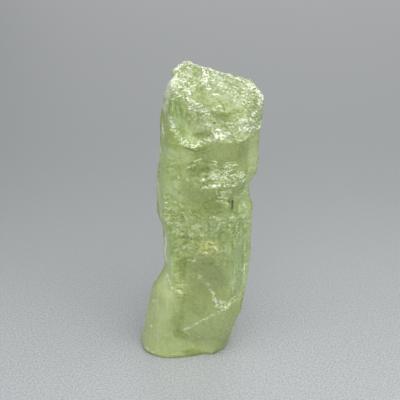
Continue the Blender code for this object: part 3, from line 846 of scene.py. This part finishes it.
# Healed cracks: middle, half length and half width in mm, tilt about x and about y, share that shows.
veils = {
    "veil_top": ((0.6, 0.6, 26.3), (3.4, 1.8), (14, -6), 0.34),
    "veil_steps": ((2.4, -0.9, 24.2), (3.2, 2.2), (-24, 8), 0.62),
    "veil_left": ((-2.4, -0.3, 22.6), (2.6, 2.2), (18, 14), 0.50),
    "veil_ledge": ((2.6, -0.4, 20.4), (3.0, 2.4), (-12, -10), 0.60),
    "veil_middle": ((-0.4, -0.5, 18.2), (3.8, 2.4), (22, 4), 0.58),
    "veil_right": ((2.9, 0.6, 16.4), (2.6, 2.0), (-30, -16), 0.50),
    "veil_stain": ((-0.2, -0.6, 14.6), (3.6, 2.2), (10, -8), 0.56),
    "veil_lower": ((1.2, 0.3, 11.8), (3.6, 2.6), (-20, 12), 0.42),
    "veil_foot": ((1.0, 0.1, 7.2), (4.2, 2.6), (34, -18), 0.34),
    "veil_lobe": ((-3.4, -0.4, 4.4), (2.6, 2.4), (24, 34), 0.34),
}
veilLook = {
    "patches": (1.3, 4.0, 0.62, None, 0.4),  # size in mm, detail, roughness, stretch and distortion
    "grain": (0.30, 3.0, 0.6), "fleckSize": 0.30, "roughness": 0.45, "bump": 0.05,
}
rustStain = {
    "pixel": (209, 248.5), "depth": 0.45, "halfSize": (0.85, 0.75), "tilt": (38, 4), "wave": 0.2,
    "shown": 0.72,
}


def veilMaterial(name, dull, bright, shown):
    make = Maker(name)
    patches = make.noise(*veilLook["patches"])
    grain = make.noise(*veilLook["grain"])
    flecks = make.cellShade(veilLook["fleckSize"])
    cover = (patches * 1.5 + grain * 0.5 + shown - 1.45).ramp(0.0, 0.42)
    colour = make.mixColour((flecks * 1.4 - 0.5 + (grain - 0.5)).clamp(), dull, bright)
    alpha = (cover * (0.25 + flecks * 0.5)).clamp()
    normal = make.bump(flecks + grain, veilLook["bump"])
    return make.finish(make.coat(colour, veilLook["roughness"], normal, {"Alpha": alpha}))


def depthBelow(tree, place):
    near, normal, _, _ = tree.find_nearest(place * mm)
    return (near / mm - place).dot(normal), near / mm, normal


def makeVeil(tree, name, middle, halfSize, tilt, material, wave=sealed["wave"]):
    mesh = bmesh.new()
    steps = [max(sealed["fewestSteps"], round(2 * half / sealed["sheetStep"])) for half in halfSize]
    bmesh.ops.create_grid(mesh, x_segments=steps[0], y_segments=steps[1], size=1.0)
    turn = Euler((math.radians(tilt[0]), math.radians(tilt[1]), 0)).to_matrix()
    wide, narrow = sealed["waveSizes"]
    fineWave = sealed["fineWave"] * wave
    outside = set()
    for vertex in mesh.verts:
        place = turn @ Vector((vertex.co.x * halfSize[0], vertex.co.y * halfSize[1], 0)) + Vector(middle)
        swell = wave * noise.noise(place / wide) + fineWave * noise.noise(place / narrow)
        place += turn @ Vector((0, 0, swell))
        depth, near, normal = depthBelow(tree, place)
        if depth < sealed["margin"]:
            place = near - normal * sealed["margin"]
            if depth < sealed["lostDepth"]:
                outside.add(vertex.index)
        vertex.co = place * mm
    spare = [face for face in mesh.faces if all(corner.index in outside for corner in face.verts)]
    bmesh.ops.delete(mesh, geom=spare, context="FACES")
    bmesh.ops.remove_doubles(mesh, verts=mesh.verts[:], dist=sealed["weld"] * mm)
    bmesh.ops.dissolve_degenerate(mesh, edges=mesh.edges[:], dist=sealed["weld"] * mm)
    bmesh.ops.solidify(mesh, geom=mesh.faces[:], thickness=sealed["sheetThickness"] * mm)
    bmesh.ops.recalc_face_normals(mesh, faces=mesh.faces[:])
    linkPiece(name, mesh, material)


# Dark needles: first and last pixel, radius and depth under the surface in mm.
needles = {
    "sides": 6, "taper": 0.5, "roughness": 0.35,
    "streak": (0.06, 2.0, 0.5, (1, 1, 0.2)), "streakRamp": (0.5, 0.8), "streakColour": (0.06, 0.07, 0.03, 1),
    "long": ((232.3, 200.6), (232.0, 208.8), 0.105, 0.04),
    "short": ((228.4, 201.2), (231.6, 203.2), 0.07, 0.05),
}
# Fine bright flakes along parting planes, and thin growth tubes beside the right front edge.
flakes = {
    "seed": 5, "count": 420, "sides": 6, "thickness": 0.012, "size": (0.07, 0.24), "depth": (0.10, 1.1),
    "heights": (11.5, 27.5), "tilt": 35, "clearance": 0.6, "shadeSize": 0.5, "grainSize": 0.1,
}
tubes = {
    "seed": 8, "count": 110, "sides": 5, "radius": (0.015, 0.035), "length": (0.5, 2.8), "depth": (0.08, 0.9),
    "heights": (8.5, 20.5), "bearings": (8, 62), "clearance": 0.06,
    "shade": (0.8, 3.0, 0.5, (1, 1, 0.3)), "shadeRamp": (0.35, 0.65),
}


def sidePoint(tree, bearing, height):
    # the stone's surface at a bearing and height
    turn = math.radians(bearing)
    outward = Vector((math.sin(turn), -math.cos(turn), 0))
    start = Vector((*stone["axis"], height)) + outward * stone["outside"]
    hit, normal, _, _ = tree.ray_cast(start * mm, -outward)
    return hit / mm, normal


def addRod(mesh, start, end, radius, taper, sides):
    run = end - start
    turn = run.to_track_quat("Z", "Y").to_matrix().to_4x4()
    place = Matrix.Translation((start + end) / 2 * mm) @ turn
    bmesh.ops.create_cone(mesh, cap_ends=True, segments=sides, radius1=radius * mm,
                          radius2=radius * taper * mm, depth=run.length * mm, matrix=place)


def makeNeedles(tree):
    make = Maker("darkNeedle")
    streak = make.noise(*needles["streak"])
    colour = make.mixColour(streak.ramp(*needles["streakRamp"]), sealed["needleColour"],
                            needles["streakColour"])
    coat = make.coat(colour, needles["roughness"], make.bump(streak, sealed["bump"]))
    mesh = bmesh.new()
    for name in ("long", "short"):
        first, last, radius, depth = needles[name]
        addRod(mesh, onStone(tree, *first, depth), onStone(tree, *last, depth), radius, needles["taper"],
               needles["sides"])
    linkPiece("dark_needles", mesh, make.finish(coat))


def makeFlakes(tree):
    make = Maker("partingFlake")
    colour = make.mixColour(make.cellShade(flakes["shadeSize"]), sealed["veilColour"], sealed["veilBright"])
    coat = make.coat(colour, sealed["gloss"], make.bump(make.noise(flakes["grainSize"]), sealed["bump"]))
    draw = random.Random(flakes["seed"])
    mesh = bmesh.new()
    for _ in range(flakes["count"]):
        place, normal = sidePoint(tree, draw.uniform(-180, 180), draw.uniform(*flakes["heights"]))
        place -= normal * draw.uniform(*flakes["depth"])
        size = draw.uniform(*flakes["size"])
        tilts = [math.radians(draw.uniform(-flakes["tilt"], flakes["tilt"])) for _ in range(3)]
        if depthBelow(tree, place)[0] < size * flakes["clearance"]:
            continue
        lie = Matrix.Translation(place * mm) @ Euler(tilts).to_matrix().to_4x4()
        bmesh.ops.create_cone(mesh, cap_ends=True, segments=flakes["sides"], radius1=size * mm,
                              radius2=size * mm, depth=flakes["thickness"] * mm, matrix=lie)
    linkPiece("parting_flakes", mesh, make.finish(coat))


def makeTubes(tree):
    make = Maker("growthTube")
    shade = make.noise(*tubes["shade"])
    colour = make.mixColour(shade.ramp(*tubes["shadeRamp"]), sealed["veilColour"], sealed["tubeColour"])
    coat = make.coat(colour, sealed["gloss"], make.bump(shade, sealed["bump"]))
    draw = random.Random(tubes["seed"])
    mesh = bmesh.new()
    for _ in range(tubes["count"]):
        place, normal = sidePoint(tree, draw.uniform(*tubes["bearings"]), draw.uniform(*tubes["heights"]))
        place -= normal * draw.uniform(*tubes["depth"])
        half = Vector((0, 0, draw.uniform(*tubes["length"]) / 2))
        radius = draw.uniform(*tubes["radius"])
        if min(depthBelow(tree, place + end)[0] for end in (half, -half)) < tubes["clearance"]:
            continue
        addRod(mesh, place - half, place + half, radius, 1.0, tubes["sides"])
    linkPiece("growth_tubes", mesh, make.finish(coat))
    print("needles, flakes and tubes made")


def makeVeils(tree):
    for name, (middle, halfSize, tilt, shown) in veils.items():
        material = veilMaterial(name, sealed["veilColour"], sealed["veilBright"], shown)
        makeVeil(tree, name, middle, halfSize, tilt, material)
    middle = onStone(tree, *rustStain["pixel"], rustStain["depth"])
    rust = veilMaterial("rustStain", sealed["rustColour"], sealed["rustBright"], rustStain["shown"])
    makeVeil(tree, "rust_stain", middle, rustStain["halfSize"], rustStain["tilt"], rust, rustStain["wave"])
    print("healed cracks made")


# Pale board that curves up far behind, and the light. Sizes in mm.
table = {
    "flatRadius": 330.0, "rimRadius": 620.0, "rimHeight": 300.0, "rimSteps": 24, "gap": 0.01, "sides": 96,
    "colour": (0.374, 0.388, 0.398), "farColour": (0.66, 0.67, 0.68), "farFrom": 160.0,
    "grain": (0.23, 3.0, 0.7), "grainRamp": (0.3, 0.7), "grainShades": (0.76, 1.24),
    "roughness": 0.55, "bump": 0.02,
    "grainFade": (-6.0, 32.0), "grainLost": 0.85,  # seen from farther off, the grain evens out
    # the board is painted darker towards the back, as shade where the light falls off: span in mm and the
    # darkening tint
    "paintedShadeSpan": (-20.0, 62.0), "paintedFarShade": (0.66, 0.66, 0.65),
}


def makeTable():
    make = Maker("paleBoard")
    grain = make.noise(*table["grain"])
    far = make.node("ShaderNodeVectorMath", {"operation": "LENGTH"}, {0: make.place}).outputs["Value"]
    farShare = Num(make, far).ramp(table["farFrom"] * mm, table["rimRadius"] * mm)
    shades = [tuple(c * shade for c in table["colour"]) + (1,) for shade in table["grainShades"]]
    near = make.mixColour(grain.ramp(*table["grainRamp"]), *shades)
    depth = make.num("ShaderNodeSeparateXYZ", None, {0: make.place}, "Y")
    start, end = table["grainFade"]
    near = make.mixColour(depth.ramp(start * mm, end * mm) * table["grainLost"], near, table["colour"] + (1,))
    # painted shade: the board darkens towards the back
    low, high = table["paintedShadeSpan"]
    farShaded = make.mixColour(1.0, near, table["paintedFarShade"] + (1,), blend="MULTIPLY")
    near = make.mixColour(depth.ramp(low * mm, high * mm), near, farShaded)
    colour = make.mixColour(farShare, near, table["farColour"] + (1,))
    coat = make.coat(colour, table["roughness"], make.bump(grain, table["bump"]))
    mesh = bmesh.new()
    bmesh.ops.create_circle(mesh, cap_ends=True, segments=table["sides"], radius=table["flatRadius"] * mm)
    rim = [edge for edge in mesh.edges if edge.is_boundary]
    spread = table["rimRadius"] - table["flatRadius"]
    radius = table["flatRadius"]
    for step in range(1, table["rimSteps"] + 1):
        turn = step / table["rimSteps"] * math.pi / 2
        grown = bmesh.ops.extrude_edge_only(mesh, edges=rim)["geom"]
        rim = [item for item in grown if isinstance(item, bmesh.types.BMEdge)]
        corners = [item for item in grown if isinstance(item, bmesh.types.BMVert)]
        wider = table["flatRadius"] + spread * math.sin(turn)
        height = table["rimHeight"] * (1 - math.cos(turn))
        for vertex in corners:
            vertex.co.x *= wider / radius
            vertex.co.y *= wider / radius
            vertex.co.z = height * mm
        radius = wider
    for vertex in mesh.verts:
        vertex.co.z -= table["gap"] * mm
    top = addObject("table", mesh, make.finish(coat))
    print("table ready")


lights = {
    "main": {"place": (48, -108, 208), "size": 275, "power": 0.82},
    "leftFill": {"place": (-190, -60, 90), "size": 160, "power": 0.068},
    "rightFill": {"place": (200, 30, 110), "size": 160, "power": 0.05},
    "backFill": {"place": (15, 230, 45), "size": 160, "power": 0.15},
}
room = {"colour": (0.95, 0.98, 1.0, 1), "strength": 0.32, "aim": (0, 0, 17)}  # the lights look at the aim, mm


def makeLights():
    for name, light in lights.items():
        data = bpy.data.lights.new(name, "AREA")
        data.shape = "SQUARE"
        data.size = light["size"] * mm
        data.energy = light["power"]
        holder = bpy.data.objects.new(name, data)
        bpy.context.scene.collection.objects.link(holder)
        holder.location = Vector(light["place"]) * mm
        holder.visible_camera = False
        aim = Vector(room["aim"]) * mm - holder.location
        holder.rotation_euler = aim.to_track_quat("-Z", "Y").to_euler()
    world = bpy.data.worlds.new("softRoom")
    world.use_nodes = True
    bpy.context.scene.world = world
    background = world.node_tree.nodes["Background"]
    background.inputs["Color"].default_value = room["colour"]
    background.inputs["Strength"].default_value = room["strength"]
    print("lights ready")


look = {
    "use_denoising": True, "max_bounces": 20, "transmission_bounces": 16, "transparent_max_bounces": 24,
    "glossy_bounces": 6, "diffuse_bounces": 5,
}


def setLook():
    bpy.context.scene.view_settings.view_transform = "Standard"
    for name, value in look.items():
        setattr(bpy.context.scene.cycles, name, value)


makeCamera()
stoneTree = makeStone()
makeVeils(stoneTree)
makeNeedles(stoneTree)
makeFlakes(stoneTree)
makeTubes(stoneTree)
makeTable()
makeLights()
setLook()
